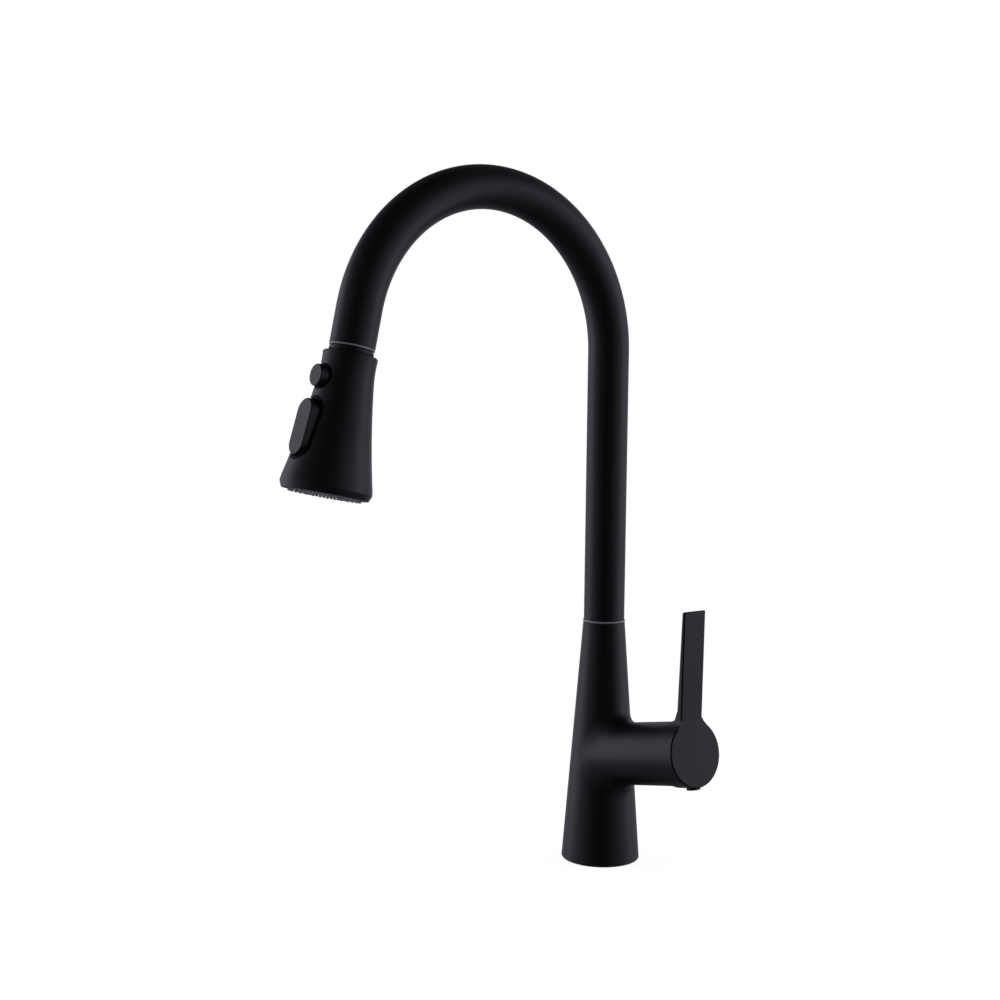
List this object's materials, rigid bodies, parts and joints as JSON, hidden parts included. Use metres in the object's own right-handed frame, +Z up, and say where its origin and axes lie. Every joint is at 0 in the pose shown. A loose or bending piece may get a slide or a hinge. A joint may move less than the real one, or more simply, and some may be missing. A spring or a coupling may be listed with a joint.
{
  "type": "pull down kitchen faucet",
  "caption": "Single-lever kitchen faucet with tapered body, tilted side arm, tall gooseneck spout and pull-down spray head with pause button and spray selector.",
  "frame": {"origin": "centre of the base's underside, where the faucet stands on the deck, on the axis of the mounting shank", "axes": "+Z up, the spout reaches along -Y, the handle arm along +X"},
  "size_m": [0.1236, 0.2781, 0.468],
  "materials": {
    "matte_black": "satin-matte black coating",
    "matte_black_plastic": "coated to match the metal",
    "black_plastic": "moulded",
    "grey_plastic": "moulded acetal",
    "white_plastic": "moulded",
    "brass": "machined",
    "steel": "plain",
    "ceramic": "lapped",
    "ceramic_grey": "lapped",
    "black_rubber": "moulded",
    "grey_rubber": "soft silicone",
    "hose": "woven nylon sleeve"
  },
  "bodies": {
    "faucet_body": {"body_casting": "matte_black", "shank_ring": "brass", "base_seal": "black_rubber", "waterway_manifold": "brass", "cartridge_base": "white_plastic", "port_seals": "black_rubber", "cartridge_housing": "white_plastic", "fixed_ceramic_disc": "ceramic", "cartridge_nut": "brass", "dome_collar": "matte_black", "lower_spout_bearing": "grey_plastic", "upper_spout_bearing": "grey_plastic", "spout_seam_ring": "grey_plastic", "spout_retaining_screw": "steel", "spray_hose_in_body": "hose"},
    "mixing_rotor": {"cartridge_rotor": "white_plastic", "stem_pivot_pin": "steel"},
    "lever": {"lever_handle": "matte_black", "cartridge_stem": "brass", "handle_grub_screw": "steel", "grub_screw_cap": "black_plastic"},
    "sliding_disc": {"sliding_ceramic_disc": "ceramic_grey", "disc_carrier": "white_plastic"},
    "spout": {"spout_sleeve": "brass", "spout_tube": "matte_black", "docking_collar": "grey_plastic", "dock_magnet": "steel", "hose_guide": "black_plastic", "spray_hose_in_spout": "hose"},
    "spray_head": {"spray_hose_end": "hose", "hose_ferrule": "steel", "head_neck": "black_plastic", "dock_plate": "steel", "head_shell": "matte_black_plastic", "face_bezel": "matte_black_plastic", "nozzle_plate": "black_plastic", "rubber_nozzles": "grey_rubber", "aerator": "grey_plastic", "aerator_seal": "black_rubber", "spray_core": "white_plastic", "check_valve": "grey_plastic", "core_seal": "black_rubber", "pause_button_guide": "black_plastic", "pause_button_spring": "steel", "toggle_frame": "black_plastic", "toggle_pin": "steel"},
    "pause_button": {"pause_button": "matte_black_plastic"},
    "spray_toggle": {"spray_toggle": "matte_black_plastic"},
    "diverter": {"diverter_plunger": "grey_plastic"}
  },
  "joints": [
    {"name": "spout_swivel", "type": "hinge", "parent": "faucet_body", "child": "spout", "pos_m": [0, 0, 0.1677], "axis": [0, 0, 1], "range_deg": [-180, 180]},
    {"name": "head_pull", "type": "slide", "parent": "spout", "child": "spray_head", "axis": [0, -0.2079, -0.9781], "range_m": [0, 0.3]},
    {"name": "handle_turn", "type": "hinge", "parent": "faucet_body", "child": "mixing_rotor", "pos_m": [0.07369, 0, 0.08769], "axis": [0.9799, 0, 0.1994], "range_deg": [-45, 45]},
    {"name": "handle_lift", "type": "hinge", "parent": "mixing_rotor", "child": "lever", "pos_m": [0.07369, 0, 0.08769], "axis": [0, 1, 0], "range_deg": [0, 18]},
    {"name": "disc_slide", "type": "slide", "parent": "mixing_rotor", "child": "sliding_disc", "axis": [-0.1994, 0, 0.9799], "range_m": [0, 0.0048]},
    {"name": "pause_push", "type": "slide", "parent": "spray_head", "child": "pause_button", "axis": [0, 0.9781, -0.2079], "range_m": [0, 0.0022], "stiffness_N_per_m": 800, "springref_m": -0.0008, "deforming": ["pause_button_spring"]},
    {"name": "toggle_rock", "type": "hinge", "parent": "spray_head", "child": "spray_toggle", "pos_m": [0, -0.23595, 0.30144], "axis": [-1, 0, 0], "range_deg": [0, 7]},
    {"name": "diverter_slide", "type": "slide", "parent": "spray_head", "child": "diverter", "axis": [0, -0.2079, -0.9781], "range_m": [0, 0.0031]}
  ],
  "couplings": [
    {"joint": "disc_slide", "follows": "handle_lift", "m_per_rad": 0.015},
    {"joint": "diverter_slide", "follows": "toggle_rock", "m_per_rad": 0.0245}
  ]
}
